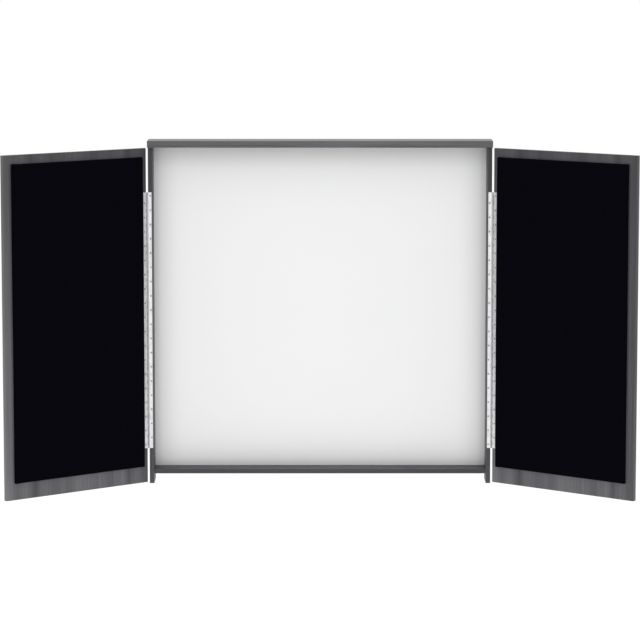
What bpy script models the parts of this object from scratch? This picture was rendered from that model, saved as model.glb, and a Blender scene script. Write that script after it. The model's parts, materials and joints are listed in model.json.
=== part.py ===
"""Wall-hung whiteboard cabinet with two hinged doors.

X runs across the cabinet, +Y points into the wall and +Z is up.
The world's origin is the middle of the wall cleat's back face, on the wall.
Sizes are metres. Inside the cabinet frame, height 0 is the bottom edge of the two sides.
"""

import math

import bmesh
import bpy
from mathutils import Matrix, Vector

# ---- Driving dimensions -------------------------------------------------------------------

BOARD = 0.016
GAP = 0.0003
ARRIS = 0.0005

CASE_WIDTH = 1.1968
CASE_DEPTH = 0.103
SIDE_HEIGHT = 1.1816
TOP_WIDTH = 1.2002
TOP_THICKNESS = 0.0232
TOP_FRONT = 0.1216
BOTTOM_HEIGHT = 0.0345

WHITEBOARD_SETBACK = 0.084
WHITEBOARD_THICKNESS = 0.003
GROOVE_DEPTH = 0.006

CLEAT_THICKNESS = 0.0154
CLEAT_PLAY = 0.0005
CABINET_CLEAT_HEIGHT = 0.0886
WALL_CLEAT_HEIGHT = 0.0896
WALL_CLEAT_LENGTH = 1.10
LOWER_RAIL_HEIGHT = 0.070
WALL_HOLES = (-0.5000, -0.2032, 0.2032, 0.5000)
WALL_HOLE_RADIUS = 0.00275
WALL_SINK_RADIUS = 0.0055

DOOR_WIDTH = 0.5975
DOOR_LOW = 0.0048
DOOR_HIGH = 1.1793
DOOR_OPENING_DEG = 140.0

TACK_THICKNESS = 0.0097
TACK_FROM_HINGE = 0.0193
TACK_WIDTH = 0.5467
TACK_LOW = 0.0619
TACK_HIGH = 1.1492

AXIS_OUT = 0.0030
FACE_TO_AXIS = 0.0017
HINGE_LOW = 0.1255
HINGE_LENGTH = 0.900
LEAF_REACH = 0.0154
LEAF_START = 0.0036
LEAF_THICKNESS = 0.0009
KNUCKLE_RADIUS = 0.00275
KNUCKLE_BORE = 0.0016
KNUCKLE_LENGTH = 0.0120
ROLL_END_DEG = 352
ROLL_OUTER_STEPS = 9
ROLL_INNER_STEPS = 5
PIN_RADIUS = 0.0012

SCREW_ROW = 0.0112
SCREW_HEIGHTS = {"bottom": 0.0125, "middle": 0.4625, "top": 0.8625}
SCREW_STAGGER = 0.025
SCREW_HEAD_RADIUS = 0.0030
SCREW_HEAD_RIM = 0.0002
SCREW_HEAD_DEPTH = 0.0017
SCREW_SHANK_RADIUS = 0.0015
SCREW_LENGTH = 0.0125

CAM_RADIUS = 0.0072
CAM_LENGTH = 0.0120
CAM_FROM_EDGE = 0.024
CAM_ROWS = {"front": -0.083, "rear": -0.045}
CAM_THROAT_RADIUS = 0.0036
CAM_THROAT_PAST_MIDDLE = 0.0045

BOLT_THREAD_RADIUS = 0.0025
BOLT_THREAD_LENGTH = 0.0110
BOLT_SHAFT_RADIUS = 0.0030
BOLT_SHAFT_END = 0.0180
BOLT_NECK_RADIUS = 0.0017
BOLT_NECK_END = 0.0215
BOLT_HEAD_RADIUS = 0.0032
BOLT_HEAD_END = 0.0260
BOLT_TAPER = 0.0005

DOWEL_RADIUS = 0.004
DOWEL_IN_SIDE = 0.010
DOWEL_IN_RAIL = 0.020

PULL_SPAN = 0.096
PULL_RISE = 0.030
PULL_RADIUS = 0.005
PULL_FOOT = 0.003
PULL_STEPS = 14
PULL_FROM_FREE_EDGE = 0.050
PULL_HEIGHT = 0.592
PULL_SCREW_RADIUS = 0.002
PULL_SCREW_HEAD_RADIUS = 0.004
PULL_SCREW_HEAD_SUNK = 0.0006
PULL_SCREW_HEAD_END = 0.003
PULL_SCREW_IN_PULL = 0.006

FACETS = {"pin": 8, "bolt": 8, "screw": 10, "dowel": 12, "wall_hole": 12, "pull": 12, "cam": 20}
SHARP_ANGLE_DEG = 35

# ---- Sizes that follow from them ----------------------------------------------------------

HALF_WIDTH = CASE_WIDTH / 2
INNER_HALF = HALF_WIDTH - BOARD
BOTTOM_TOP = BOTTOM_HEIGHT + BOARD
WHITEBOARD_FRONT = WHITEBOARD_SETBACK - CASE_DEPTH
WHITEBOARD_BACK = WHITEBOARD_FRONT + WHITEBOARD_THICKNESS
WALL_CLEAT_TOP = SIDE_HEIGHT - CABINET_CLEAT_HEIGHT - CLEAT_PLAY
ORIGIN_HEIGHT = WALL_CLEAT_TOP - WALL_CLEAT_HEIGHT / 2
SIDES = {"left": -1, "right": 1}
OVERSHOOT = 0.001


# ---- Materials ----------------------------------------------------------------------------


def finish(name, colour, roughness, metallic):
    """A Principled material of one plain colour."""
    material = bpy.data.materials.new(name)
    material.use_nodes = True
    shader = material.node_tree.nodes["Principled BSDF"]
    shader.inputs["Base Color"].default_value = (*colour, 1.0)
    shader.inputs["Roughness"].default_value = roughness
    shader.inputs["Metallic"].default_value = metallic
    return material


def make_materials():
    """One material for each kind of stuff in the cabinet."""
    return {
        "laminate": finish("charcoal_laminate", (0.125, 0.123, 0.132), 0.55, 0.0),
        "whiteboard": finish("dry_erase_white", (0.90, 0.90, 0.90), 0.15, 0.0),
        "softwood": finish("back_rail_wood", (0.52, 0.38, 0.22), 0.70, 0.0),
        "tack": finish("black_tack_fabric", (0.005, 0.005, 0.007), 0.95, 0.0),
        "hinge": finish("hinge_steel", (0.72, 0.72, 0.73), 0.35, 1.0),
        "pin": finish("pin_steel", (0.55, 0.55, 0.56), 0.30, 1.0),
        "screw": finish("screw_steel", (0.50, 0.50, 0.52), 0.35, 1.0),
        "cam": finish("cam_zinc", (0.60, 0.60, 0.62), 0.45, 1.0),
        "dowel": finish("beech_dowel", (0.60, 0.44, 0.27), 0.75, 0.0),
        "pull": finish("satin_nickel", (0.62, 0.61, 0.59), 0.30, 1.0),
    }


# ---- Shape helpers ------------------------------------------------------------------------


def clear_scene():
    """Remove whatever objects the open file holds."""
    for old in list(bpy.data.objects):
        bpy.data.objects.remove(old, do_unlink=True)


def frame(name, parent=None, location=(0, 0, 0), turn_deg=0.0):
    """An empty that places the pieces parented to it."""
    empty = bpy.data.objects.new(name, None)
    bpy.context.scene.collection.objects.link(empty)
    empty.parent = parent
    empty.location = location
    empty.rotation_euler = (0, 0, math.radians(turn_deg))
    return empty


def place(name, form, parent, material, matrix):
    """Turn a bmesh into an object, parented and placed."""
    bmesh.ops.recalc_face_normals(form, faces=form.faces)
    mesh = bpy.data.meshes.new(name)
    form.to_mesh(mesh)
    form.free()
    piece = bpy.data.objects.new(name, mesh)
    bpy.context.scene.collection.objects.link(piece)
    piece.parent = parent
    piece.matrix_local = matrix
    if material:
        mesh.materials.append(material)
    return piece


def shade_round(piece):
    """Smooth the curved faces and keep the real edges sharp."""
    piece.data.shade_smooth()
    piece.data.set_sharp_from_angle(angle=math.radians(SHARP_ANGLE_DEG))


def box(name, low, high, parent, material=None, arris=0.0):
    """A block between two corners, with its edges eased by arris."""
    low = Vector(low)
    high = Vector(high)
    form = bmesh.new()
    bmesh.ops.create_cube(form, size=1.0)
    bmesh.ops.scale(form, vec=high - low, verts=form.verts)
    piece = place(name, form, parent, material, Matrix.Translation((low + high) / 2))
    if arris:
        easing = piece.modifiers.new("eased_edges", "BEVEL")
        easing.width = arris
        easing.segments = 1
    return piece


def prism(name, outline, height, parent, material=None, matrix=None):
    """A flat outline in XY, extruded from z = 0 to the height."""
    form = bmesh.new()
    base = form.faces.new([form.verts.new((x, y, 0)) for x, y in outline])
    raised = bmesh.ops.extrude_face_region(form, geom=[base])
    moved = [item for item in raised["geom"] if isinstance(item, bmesh.types.BMVert)]
    bmesh.ops.translate(form, vec=(0, 0, height), verts=moved)
    return place(name, form, parent, material, matrix or Matrix.Identity(4))


def turned(name, profile, sides, parent, material=None, matrix=None):
    """A profile of (radius, z) points turned about Z; it starts and ends on the axis."""
    form = bmesh.new()
    rings = []
    for radius, z in profile[1:-1]:
        angles = [2 * math.pi * step / sides for step in range(sides)]
        ring = [form.verts.new((radius * math.cos(a), radius * math.sin(a), z)) for a in angles]
        rings.append(ring)
    for lower, upper in zip(rings, rings[1:]):
        for step in range(sides):
            after = (step + 1) % sides
            form.faces.new((lower[step], lower[after], upper[after], upper[step]))
    form.faces.new(rings[0])
    form.faces.new(rings[-1])
    piece = place(name, form, parent, material, matrix or Matrix.Identity(4))
    shade_round(piece)
    return piece


def rod(name, radius, start, end, sides, parent, material=None, matrix=None):
    """A plain round bar along Z."""
    profile = [(0, start), (radius, start), (radius, end), (0, end)]
    return turned(name, profile, sides, parent, material, matrix)


def pointing(origin, z_axis, x_axis):
    """A placement whose Z and X axes point the given ways."""
    z_axis = Vector(z_axis)
    x_axis = Vector(x_axis)
    y_axis = z_axis.cross(x_axis)
    turn = Matrix((x_axis, y_axis, z_axis)).transposed().to_4x4()
    return Matrix.Translation(origin) @ turn


def combine(piece, other, operation):
    """A Boolean of two pieces; the other one stays as a hidden guide."""
    other.hide_render = True
    other.display_type = "WIRE"
    step = piece.modifiers.new(other.name, "BOOLEAN")
    step.operation = operation
    step.solver = "EXACT"
    step.object = other


def cut(piece, *cutters):
    """Take each cutter's shape out of the piece."""
    for cutter in cutters:
        combine(piece, cutter, "DIFFERENCE")


# ---- Case ---------------------------------------------------------------------------------


def make_panels(cabinet, laminate):
    """The two sides, the raised bottom and the top that laps over them."""
    panels = {}
    for side, sign in SIDES.items():
        outer = sign * HALF_WIDTH
        inner = sign * INNER_HALF
        low = (min(outer, inner), -CASE_DEPTH, 0)
        high = (max(outer, inner), 0, SIDE_HEIGHT - GAP)
        panels[side] = box(f"{side}_side_panel", low, high, cabinet, laminate, ARRIS)
    low = (-TOP_WIDTH / 2, -TOP_FRONT, SIDE_HEIGHT)
    high = (TOP_WIDTH / 2, 0, SIDE_HEIGHT + TOP_THICKNESS)
    panels["top"] = box("top_panel", low, high, cabinet, laminate, ARRIS)
    low = (GAP - INNER_HALF, -CASE_DEPTH, BOTTOM_HEIGHT)
    high = (INNER_HALF - GAP, -GAP, BOTTOM_TOP)
    panels["bottom"] = box("bottom_panel", low, high, cabinet, laminate, ARRIS)
    return panels


def fit_whiteboard(cabinet, panels, material):
    """The writing panel, held in a groove on all four sides."""
    reach = GROOVE_DEPTH - 2 * GAP
    low = (-INNER_HALF - reach, WHITEBOARD_FRONT, BOTTOM_TOP - reach)
    high = (INNER_HALF + reach, WHITEBOARD_BACK, SIDE_HEIGHT + reach)
    box("whiteboard", low, high, cabinet, material)
    front = WHITEBOARD_FRONT - GAP
    back = WHITEBOARD_BACK + GAP
    width = INNER_HALF + GROOVE_DEPTH
    inner = INNER_HALF - OVERSHOOT
    above = SIDE_HEIGHT + OVERSHOOT
    floor = BOTTOM_TOP + OVERSHOOT
    grooves = {
        "left": ((-width, front, -OVERSHOOT), (-inner, back, above)),
        "right": ((inner, front, -OVERSHOOT), (width, back, above)),
        "top": ((-width, front, SIDE_HEIGHT - OVERSHOOT), (width, back, SIDE_HEIGHT + GROOVE_DEPTH)),
        "bottom": ((-HALF_WIDTH, front, BOTTOM_TOP - GROOVE_DEPTH), (HALF_WIDTH, back, floor)),
    }
    for name, (low, high) in grooves.items():
        cut(panels[name], box(f"{name}_groove", low, high, cabinet))


def make_cleats(cabinet, softwood):
    """The bevelled rail behind the board, and the wall cleat that it hooks over."""
    back = -CLEAT_THICKNESS
    low = SIDE_HEIGHT - CABINET_CLEAT_HEIGHT
    high = SIDE_HEIGHT - GAP
    upright = pointing((-INNER_HALF + GAP, 0, 0), (1, 0, 0), (0, 1, 0))
    hooked = [(back, high), (-GAP, high), (-GAP, low), (back, low + CLEAT_THICKNESS - GAP)]
    rail = prism("cabinet_cleat", hooked, 2 * (INNER_HALF - GAP), cabinet, softwood, upright)

    foot = WALL_CLEAT_TOP - WALL_CLEAT_HEIGHT
    hook = [(back, WALL_CLEAT_TOP + CLEAT_THICKNESS), (0, WALL_CLEAT_TOP), (0, foot), (back, foot)]
    upright = pointing((-WALL_CLEAT_LENGTH / 2, 0, 0), (1, 0, 0), (0, 1, 0))
    cleat = prism("wall_cleat", hook, WALL_CLEAT_LENGTH, cabinet, softwood, upright)
    sink = WALL_SINK_RADIUS - WALL_HOLE_RADIUS
    profile = [
        (0, -OVERSHOOT),
        (WALL_SINK_RADIUS, -OVERSHOOT),
        (WALL_SINK_RADIUS, 0),
        (WALL_HOLE_RADIUS, sink),
        (WALL_HOLE_RADIUS, CLEAT_THICKNESS + OVERSHOOT),
        (0, CLEAT_THICKNESS + OVERSHOOT),
    ]
    for index, x in enumerate(WALL_HOLES):
        spot = pointing((x, back, ORIGIN_HEIGHT), (0, 1, 0), (1, 0, 0))
        cut(cleat, turned(f"wall_hole_{index}", profile, FACETS["wall_hole"], cabinet, None, spot))
    return rail


def make_lower_rail(cabinet, softwood):
    """The spacer that keeps the cabinet's foot parallel to the wall."""
    low = (GAP - INNER_HALF, -CLEAT_THICKNESS, BOTTOM_TOP + GAP)
    high = (INNER_HALF - GAP, -GAP, BOTTOM_TOP + LOWER_RAIL_HEIGHT)
    return box("lower_back_rail", low, high, cabinet, softwood)


def add_dowels(cabinet, panels, rails, material):
    """A glued dowel from each side into each end of each back rail."""
    for rail_name, (rail, height) in rails.items():
        for side, sign in SIDES.items():
            spot = pointing((sign * INNER_HALF, -CLEAT_THICKNESS / 2, height), (sign, 0, 0), (0, 0, 1))
            name = f"{side}_{rail_name}_dowel"
            sides = FACETS["dowel"]
            rod(name, DOWEL_RADIUS, -DOWEL_IN_RAIL, DOWEL_IN_SIDE, sides, cabinet, material, spot)
            ends = (-DOWEL_IN_RAIL - GAP, DOWEL_IN_SIDE + GAP)
            hole = rod(f"{name}_hole", DOWEL_RADIUS + GAP, *ends, sides, cabinet, None, spot)
            cut(panels[side], hole)
            cut(rail, hole)


# ---- Cam fittings -------------------------------------------------------------------------


def bolt_profile():
    """A cam bolt: its thread below the joint at z = 0, then shaft, neck and head."""
    return [
        (0, -BOLT_THREAD_LENGTH),
        (BOLT_THREAD_RADIUS, -BOLT_THREAD_LENGTH),
        (BOLT_THREAD_RADIUS, 0),
        (BOLT_SHAFT_RADIUS, 0),
        (BOLT_SHAFT_RADIUS, BOLT_SHAFT_END),
        (BOLT_NECK_RADIUS, BOLT_SHAFT_END + BOLT_TAPER),
        (BOLT_NECK_RADIUS, BOLT_NECK_END),
        (BOLT_HEAD_RADIUS, BOLT_NECK_END + BOLT_TAPER),
        (BOLT_HEAD_RADIUS, BOLT_HEAD_END),
        (0, BOLT_HEAD_END),
    ]


def add_fitting(name, cabinet, held, drilled, matrix, materials):
    """A cam and its bolt. Z runs from the joint into the drilled panel, X to the cam's face."""
    face = BOARD / 2
    across = Matrix.Translation((0, 0, CAM_FROM_EDGE)) @ Matrix.Rotation(math.pi / 2, 4, "Y")
    turned(f"{name}_bolt", bolt_profile(), FACETS["bolt"], cabinet, materials["screw"], matrix)
    spot = matrix @ across
    end = face - GAP
    start = end - CAM_LENGTH
    cam = rod(f"{name}_cam", CAM_RADIUS, start, end, FACETS["cam"], cabinet, materials["cam"], spot)
    throat = (CAM_FROM_EDGE - 2 * CAM_RADIUS, CAM_FROM_EDGE + CAM_THROAT_PAST_MIDDLE)
    cut(cam, rod(f"{name}_throat", CAM_THROAT_RADIUS, *throat, FACETS["bolt"], cabinet, None, matrix))

    mouth_ends = (start - GAP, face + OVERSHOOT)
    shaft_ends = (-OVERSHOOT, CAM_FROM_EDGE)
    thread_ends = (-BOLT_THREAD_LENGTH - GAP, OVERSHOOT)
    shaft_radius = BOLT_SHAFT_RADIUS + GAP
    thread_radius = BOLT_THREAD_RADIUS + GAP
    mouth = rod(f"{name}_mouth", CAM_RADIUS + GAP, *mouth_ends, FACETS["cam"], cabinet, None, spot)
    shaft = rod(f"{name}_shaft", shaft_radius, *shaft_ends, FACETS["bolt"], cabinet, None, matrix)
    thread = rod(f"{name}_thread", thread_radius, *thread_ends, FACETS["bolt"], cabinet, None, matrix)
    cut(drilled, mouth, shaft)
    cut(held, thread)


def add_fittings(cabinet, panels, materials):
    """Two cam fittings at each corner of the case."""
    for side, sign in SIDES.items():
        middle = sign * (HALF_WIDTH - BOARD / 2)
        for row, y in CAM_ROWS.items():
            spot = pointing((middle, y, SIDE_HEIGHT), (0, 0, -1), (-sign, 0, 0))
            add_fitting(f"{side}_top_{row}", cabinet, panels["top"], panels[side], spot, materials)
            spot = pointing((sign * INNER_HALF, y, BOTTOM_HEIGHT + BOARD / 2), (-sign, 0, 0), (0, 0, -1))
            add_fitting(f"{side}_bottom_{row}", cabinet, panels[side], panels["bottom"], spot, materials)


# ---- Piano hinges -------------------------------------------------------------------------


def knuckle_outline(inward, toward):
    """The rolled end of a leaf, open by a slit beside the strip, about the pin's centre."""
    far = FACE_TO_AXIS - GAP
    near = far - LEAF_THICKNESS
    join = LEAF_START + GAP
    last = math.radians(ROLL_END_DEG)
    outer_first = math.asin(far / KNUCKLE_RADIUS)
    inner_first = math.asin(near / KNUCKLE_BORE)
    points = [(join, far)]
    for step in range(ROLL_OUTER_STEPS + 1):
        angle = outer_first + (last - outer_first) * step / ROLL_OUTER_STEPS
        points.append((KNUCKLE_RADIUS * math.cos(angle), KNUCKLE_RADIUS * math.sin(angle)))
    for step in range(ROLL_INNER_STEPS + 1):
        angle = last + (inner_first - last) * step / ROLL_INNER_STEPS
        points.append((KNUCKLE_BORE * math.cos(angle), KNUCKLE_BORE * math.sin(angle)))
    points.append((join, near))
    return [(inward * x, toward * y) for x, y in points]


def knuckle_row(name, parent, origin, inward, toward, first):
    """Every other knuckle along the pin, from the given one, as a guide for a union."""
    spot = Matrix.Translation(origin + Vector((0, 0, first * KNUCKLE_LENGTH + GAP / 2)))
    outline = knuckle_outline(inward, toward)
    row = prism(name, outline, KNUCKLE_LENGTH - GAP, parent, None, spot)
    repeat = row.modifiers.new("every_other_knuckle", "ARRAY")
    repeat.count = (round(HINGE_LENGTH / KNUCKLE_LENGTH) - first + 1) // 2
    repeat.use_relative_offset = False
    repeat.use_constant_offset = True
    repeat.constant_offset_displace = (0, 0, 2 * KNUCKLE_LENGTH)
    return row


def screw_profile(clearance=0.0):
    """A countersunk wood screw, head at z = 0 and shank along +Z; clearance makes its hole."""
    top = -OVERSHOOT if clearance else 0
    head = SCREW_HEAD_RADIUS + clearance
    shank = SCREW_SHANK_RADIUS + clearance
    tip = SCREW_LENGTH + clearance
    cone = [(head, SCREW_HEAD_RIM), (shank, SCREW_HEAD_DEPTH)]
    return [(0, top), (head, top), *cone, (shank, tip), (0, tip)]


def make_leaf(name, parent, axis_low, inward, toward, first, board, materials):
    """One leaf with every other knuckle, screwed to the board that it lies on."""
    far = toward * (FACE_TO_AXIS - GAP)
    near = toward * (FACE_TO_AXIS - GAP - LEAF_THICKNESS)
    start = inward * LEAF_START
    end = inward * LEAF_REACH
    origin = Vector(axis_low)
    low = origin + Vector((min(start, end), min(near, far), 0))
    high = origin + Vector((max(start, end), max(near, far), HINGE_LENGTH))
    leaf = box(f"{name}_hinge_leaf", low, high, parent, materials["hinge"])
    combine(leaf, knuckle_row(f"{name}_knuckles", parent, origin, inward, toward, first), "UNION")
    # The two leaves' screws are staggered, and the right hinge is the left one turned end for end.
    raised = SCREW_STAGGER if inward == toward else 0
    for place_name, height in SCREW_HEIGHTS.items():
        head = origin + Vector((inward * SCREW_ROW, near, height + raised))
        spot = pointing(head, (0, toward, 0), (1, 0, 0))
        screw_name = f"{name}_hinge_screw_{place_name}"
        turned(screw_name, screw_profile(), FACETS["screw"], parent, materials["screw"], spot)
        hole = turned(f"{screw_name}_hole", screw_profile(GAP), FACETS["screw"], parent, None, spot)
        cut(leaf, hole)
        cut(board, hole)


# ---- Doors --------------------------------------------------------------------------------


def pull_path():
    """Half an ellipse with a short straight foot at each end, as (out, along) vectors."""
    half = PULL_SPAN / 2
    points = [Vector((0, 0, -half))]
    for step in range(PULL_STEPS + 1):
        angle = math.pi * (1 - step / PULL_STEPS)
        out = PULL_FOOT + (PULL_RISE - PULL_FOOT) * math.sin(angle)
        points.append(Vector((0, -out, half * math.cos(angle))))
    points.append(Vector((0, 0, half)))
    return points


def swept_bar(name, path, radius, sides, parent, material, matrix):
    """A round bar along a path in the YZ plane, with flat ends."""
    form = bmesh.new()
    rings = []
    last = len(path) - 1
    for index, point in enumerate(path):
        along = path[min(index + 1, last)] - path[max(index - 1, 0)]
        if index in (0, last):
            along = Vector((0, -1, 0)) if index == 0 else Vector((0, 1, 0))
        along.normalize()
        across = along.cross(Vector((1, 0, 0)))
        ring = []
        for step in range(sides):
            angle = 2 * math.pi * step / sides
            offset = Vector((math.cos(angle), 0, 0)) + math.sin(angle) * across
            ring.append(form.verts.new(point + radius * offset))
        rings.append(ring)
    for lower, upper in zip(rings, rings[1:]):
        for step in range(sides):
            after = (step + 1) % sides
            form.faces.new((lower[step], lower[after], upper[after], upper[step]))
    form.faces.new(rings[0])
    form.faces.new(rings[-1])
    bar = place(name, form, parent, material, matrix)
    shade_round(bar)
    return bar


def pull_screw_profile():
    """A pan-head machine screw that starts just under the door's inner face."""
    tip = BOARD + PULL_SCREW_IN_PULL
    return [
        (0, PULL_SCREW_HEAD_SUNK),
        (PULL_SCREW_HEAD_RADIUS, PULL_SCREW_HEAD_SUNK),
        (PULL_SCREW_HEAD_RADIUS, PULL_SCREW_HEAD_END),
        (PULL_SCREW_RADIUS, PULL_SCREW_HEAD_END),
        (PULL_SCREW_RADIUS, tip),
        (0, tip),
    ]


def make_pull(side, axis, x, outer_face, door, materials):
    """A bow pull, held by two machine screws from the inside of the door."""
    spot = Matrix.Translation((x, outer_face - GAP, PULL_HEIGHT))
    path = pull_path()
    name = f"{side}_door_pull"
    pull = swept_bar(name, path, PULL_RADIUS, FACETS["pull"], axis, materials["pull"], spot)
    inner_face = outer_face + BOARD
    bore_ends = (-OVERSHOOT, BOARD + PULL_SCREW_IN_PULL + GAP)
    sink_ends = (-OVERSHOOT, PULL_SCREW_HEAD_END + GAP)
    bore_radius = PULL_SCREW_RADIUS + GAP
    sink_radius = PULL_SCREW_HEAD_RADIUS + GAP
    for end, sign in (("lower", -1), ("upper", 1)):
        spot = pointing((x, inner_face, PULL_HEIGHT + sign * PULL_SPAN / 2), (0, -1, 0), (1, 0, 0))
        name = f"{side}_pull_screw_{end}"
        turned(name, pull_screw_profile(), FACETS["screw"], axis, materials["screw"], spot)
        bore = rod(f"{name}_bore", bore_radius, *bore_ends, FACETS["screw"], axis, None, spot)
        sink = rod(f"{name}_sink", sink_radius, *sink_ends, FACETS["screw"], axis, None, spot)
        cut(door, bore, sink)
        cut(pull, bore)


def make_door(side, sign, axis, materials):
    """A door in its closed place, seen from the hinge axis that its frame sits on."""
    inward = -sign
    hinge_edge = inward * AXIS_OUT
    free_edge = inward * (AXIS_OUT + DOOR_WIDTH)
    inner_face = -FACE_TO_AXIS
    outer_face = inner_face - BOARD
    low = (min(hinge_edge, free_edge), outer_face, DOOR_LOW)
    high = (max(hinge_edge, free_edge), inner_face, DOOR_HIGH)
    door = box(f"{side}_door_panel", low, high, axis, materials["laminate"], ARRIS)

    near = inward * (AXIS_OUT + TACK_FROM_HINGE)
    far = inward * (AXIS_OUT + TACK_FROM_HINGE + TACK_WIDTH)
    low = (min(near, far), inner_face + GAP, TACK_LOW)
    high = (max(near, far), inner_face + GAP + TACK_THICKNESS, TACK_HIGH)
    box(f"{side}_tack_board", low, high, axis, materials["tack"], 2 * ARRIS)

    make_leaf(f"{side}_door", axis, (0, 0, HINGE_LOW), inward, -1, 1, door, materials)
    pull_x = inward * (AXIS_OUT + DOOR_WIDTH - PULL_FROM_FREE_EDGE)
    make_pull(side, axis, pull_x, outer_face, door, materials)


# ---- Assembly -----------------------------------------------------------------------------


def build():
    """Model the whole cabinet, with both doors standing open."""
    clear_scene()
    materials = make_materials()
    cabinet = frame("cabinet_frame", location=(0, 0, -ORIGIN_HEIGHT))
    panels = make_panels(cabinet, materials["laminate"])
    fit_whiteboard(cabinet, panels, materials["whiteboard"])
    cabinet_cleat = make_cleats(cabinet, materials["softwood"])
    lower_rail = make_lower_rail(cabinet, materials["softwood"])
    rails = {
        "cleat": (cabinet_cleat, SIDE_HEIGHT - CABINET_CLEAT_HEIGHT / 3),
        "rail": (lower_rail, BOTTOM_TOP + LOWER_RAIL_HEIGHT / 2),
    }
    add_dowels(cabinet, panels, rails, materials["dowel"])
    add_fittings(cabinet, panels, materials)
    for side, sign in SIDES.items():
        spot = (sign * (HALF_WIDTH + AXIS_OUT), -CASE_DEPTH - FACE_TO_AXIS, 0)
        hinge_low = (spot[0], spot[1], HINGE_LOW)
        make_leaf(f"{side}_frame", cabinet, hinge_low, -sign, 1, 0, panels[side], materials)
        pin = Matrix.Translation(hinge_low)
        sides = FACETS["pin"]
        rod(f"{side}_hinge_pin", PIN_RADIUS, 0, HINGE_LENGTH, sides, cabinet, materials["pin"], pin)
        axis = frame(f"{side}_door_axis", cabinet, spot, sign * DOOR_OPENING_DEG)
        make_door(side, sign, axis, materials)


build()
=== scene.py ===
"""The looks of the wall-hung whiteboard cabinet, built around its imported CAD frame.

X runs across the cabinet, +Y points into the wall and +Z is up. Sizes are metres.
Each door's pieces are modelled in the door's closed frame, which has the hinge axis at its
origin, and are then turned to the open place that the CAD doors stand in.
"""

import json
import math

import bmesh
import bpy
from mathutils import Matrix, Vector


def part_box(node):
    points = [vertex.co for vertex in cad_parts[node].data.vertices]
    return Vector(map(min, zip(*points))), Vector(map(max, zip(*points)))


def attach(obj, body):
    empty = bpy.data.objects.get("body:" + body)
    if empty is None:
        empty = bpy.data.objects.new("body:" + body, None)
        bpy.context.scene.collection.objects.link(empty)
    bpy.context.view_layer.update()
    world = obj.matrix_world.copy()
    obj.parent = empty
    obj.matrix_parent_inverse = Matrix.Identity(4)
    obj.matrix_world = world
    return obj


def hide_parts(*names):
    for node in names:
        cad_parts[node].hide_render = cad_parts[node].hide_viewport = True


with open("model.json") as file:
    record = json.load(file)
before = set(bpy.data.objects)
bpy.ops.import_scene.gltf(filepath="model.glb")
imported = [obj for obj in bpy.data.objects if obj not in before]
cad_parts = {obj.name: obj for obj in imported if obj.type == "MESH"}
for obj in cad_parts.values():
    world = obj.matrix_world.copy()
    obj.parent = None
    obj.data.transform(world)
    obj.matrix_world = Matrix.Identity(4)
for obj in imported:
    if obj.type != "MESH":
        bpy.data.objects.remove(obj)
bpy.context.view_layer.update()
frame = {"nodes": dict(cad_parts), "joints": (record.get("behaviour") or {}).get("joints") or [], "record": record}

# ---- Driving sizes ------------------------------------------------------------------------

SIDES = {"left": -1, "right": 1}
JOINTS = {joint["name"]: joint for joint in frame["joints"]}

# GAP is the play between neighbouring pieces, and a Boolean's edges under SLIVER are closed up.
GAP = 0.0003
SLIVER = 0.000003
SHARP_DEG = 35
SOFT_SHARP_DEG = 50
FACETS = {
    "cam": 40,
    "cam_throat": 20,
    "pin": 24,
    "pull": 28,
    "pull_bore": 16,
    "screw": 20,
    "screw_hole": 24,
}

# The hinges. Far and near are distances from the hinge axis, and a leaf's far face is on its board.
HINGE_LOW, HINGE_HIGH = (corner.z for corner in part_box("left_hinge_pin"))
CASE_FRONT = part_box("left_side_panel")[0].y
FACE_TO_AXIS = CASE_FRONT - JOINTS["left_door_hinge"]["pos_m"][1]
LEAF_THICKNESS = 0.0009
LEAF_FAR = FACE_TO_AXIS - GAP
LEAF_NEAR = LEAF_FAR - LEAF_THICKNESS
LEAF_START = 0.0036
LEAF_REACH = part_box("left_frame_hinge_leaf")[1].x - JOINTS["left_door_hinge"]["pos_m"][0]

KNUCKLES = 75
KNUCKLE_RADIUS = 0.00275
KNUCKLE_BORE = 0.0016
ROLL_END_DEG = 352
ROLL_OUTER_STEPS = 26
ROLL_INNER_STEPS = 16
PIN_RADIUS = 0.0012
PIN_ROUNDING = 0.0004
PIN_ROUNDING_STEPS = 4

# The hinge screws. Profiles are (radius, depth) points, from the head's face down.
SCREW_ROW = 0.0112
SCREW_PITCH = 0.050
SCREW_TURN_DEG = 37
SCREW_LENGTH = 0.0122
SCREW_HEAD = 0.0029
SCREW_HEAD_DEPTH = 0.0016
SCREW_SHANK = 0.0014
SCREW_HEAD_PROFILE = (
    (SCREW_HEAD * 0.5, 0.0),
    (SCREW_HEAD - 0.0002, 0.00002),
    (SCREW_HEAD, 0.0002),
    (SCREW_SHANK, SCREW_HEAD_DEPTH),
)
THREAD_START = 0.0030
THREAD_END = SCREW_LENGTH - 0.002
THREAD_TURNS = 9
THREAD_ROOT = SCREW_SHANK * 0.75
THREAD_SLOPE = 0.0004
SCREW_POINT_PROFILE = ((SCREW_SHANK * 0.6, SCREW_LENGTH - 0.0012), (0.0001, SCREW_LENGTH))

# The cross in the head narrows with depth: (depth, reach, half width).
RECESS = ((-0.0003, 0.0017, 0.00042), (0.0013, 0.0006, 0.00030))

SINK_RADIUS = SCREW_HEAD + 0.0005
HOLE_RADIUS = SCREW_SHANK + 0.0003
SCREW_HOLE_PROFILE = (
    (SINK_RADIUS, -0.0004),
    (SINK_RADIUS, 0.0001),
    (HOLE_RADIUS, SCREW_HEAD_DEPTH),
    (HOLE_RADIUS, 0.0030),
)

# The tack boards: rounded front edges and corners, and cloth folded over at each corner.
TACK_ROUND = 0.0022
TACK_ROUND_STEPS = 6
TACK_BACK_CHAMFER = 0.0004
TACK_CORNER = 0.0025
TACK_CORNER_STEPS = 6
FOLD_LENGTH = 0.016
FOLD_STEP = 0.0005

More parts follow.
